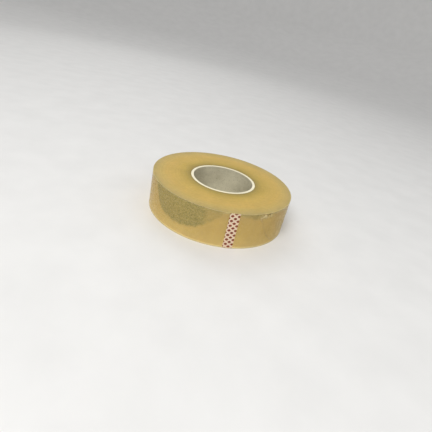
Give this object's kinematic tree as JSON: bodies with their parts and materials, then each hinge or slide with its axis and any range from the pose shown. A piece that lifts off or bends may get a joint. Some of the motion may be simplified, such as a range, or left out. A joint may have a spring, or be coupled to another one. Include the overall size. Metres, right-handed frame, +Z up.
{
  "type": "packing tape roll",
  "caption": "Roll of clear packing tape on a spiral-wound paper core, with a dotted paper pull tab under its loose end, which peels off the roll.",
  "frame": {"origin": "centre of the core's bore at the bottom end face", "axes": "+Z up along the roll's axis; the pull tab at the loose end faces -Y"},
  "size_m": [0.178, 0.1782, 0.045],
  "materials": {
    "wound_tape": "satin, translucent, straw yellow, fine turn lines on the end faces",
    "film": "smooth clear film over straw-yellow turns",
    "adhesive": "clear tacky adhesive",
    "tab_paper": "smooth white paper with small red dots",
    "white_board": "matte, cream-white, fibrous at the cut ends",
    "grey_chipboard": "matte, mottled grey recycled board"
  },
  "bodies": {
    "roll": {"core_liner_ply": "grey_chipboard", "core_body_ply_1": "white_board", "core_body_ply_2": "white_board", "core_body_ply_3": "white_board", "core_body_ply_4": "white_board", "core_body_ply_5": "white_board", "core_outer_ply": "white_board", "tape_winding": "wound_tape", "outer_turn_adhesive": "adhesive", "outer_turn_film": "film"},
    "tail_1": {"tail_film_1": "film", "tail_adhesive_1": "adhesive"},
    "tail_2": {"tail_film_2": "film", "tail_adhesive_2": "adhesive"},
    "tail_3": {"tail_film_3": "film", "tail_adhesive_3": "adhesive"},
    "tail_4": {"tail_film_4": "film", "tail_adhesive_4": "adhesive"},
    "tail_5": {"tail_film_5": "film", "tail_adhesive_5": "adhesive"},
    "tab": {"tab_film": "film", "pull_tab": "tab_paper"}
  },
  "joints": [
    {"name": "tail_peel", "type": "hinge", "parent": "roll", "child": "tail_1", "pos_m": [0.06264, -0.06351, 0.0225], "axis": [0, 0, 1], "range_deg": [0, 15]},
    {"name": "tail_curl_2", "type": "hinge", "parent": "tail_1", "child": "tail_2", "pos_m": [0.05313, -0.07165, 0.0225], "axis": [0, 0, 1], "range_deg": [0, 15]},
    {"name": "tail_curl_3", "type": "hinge", "parent": "tail_2", "child": "tail_3", "pos_m": [0.04257, -0.07839, 0.0225], "axis": [0, 0, 1], "range_deg": [0, 15]},
    {"name": "tail_curl_4", "type": "hinge", "parent": "tail_3", "child": "tail_4", "pos_m": [0.03117, -0.08358, 0.0225], "axis": [0, 0, 1], "range_deg": [0, 15]},
    {"name": "tail_curl_5", "type": "hinge", "parent": "tail_4", "child": "tail_5", "pos_m": [0.01915, -0.08712, 0.0225], "axis": [0, 0, 1], "range_deg": [0, 15]},
    {"name": "tab_lift", "type": "hinge", "parent": "tail_5", "child": "tab", "pos_m": [0.00676, -0.08894, 0.0225], "axis": [0, 0, 1], "range_deg": [0, 15]}
  ],
  "couplings": [
    {"joint": "tail_curl_2", "follows": "tail_peel", "ratio": 1},
    {"joint": "tail_curl_3", "follows": "tail_peel", "ratio": 1},
    {"joint": "tail_curl_4", "follows": "tail_peel", "ratio": 1},
    {"joint": "tail_curl_5", "follows": "tail_peel", "ratio": 1},
    {"joint": "tab_lift", "follows": "tail_peel", "ratio": 1}
  ]
}
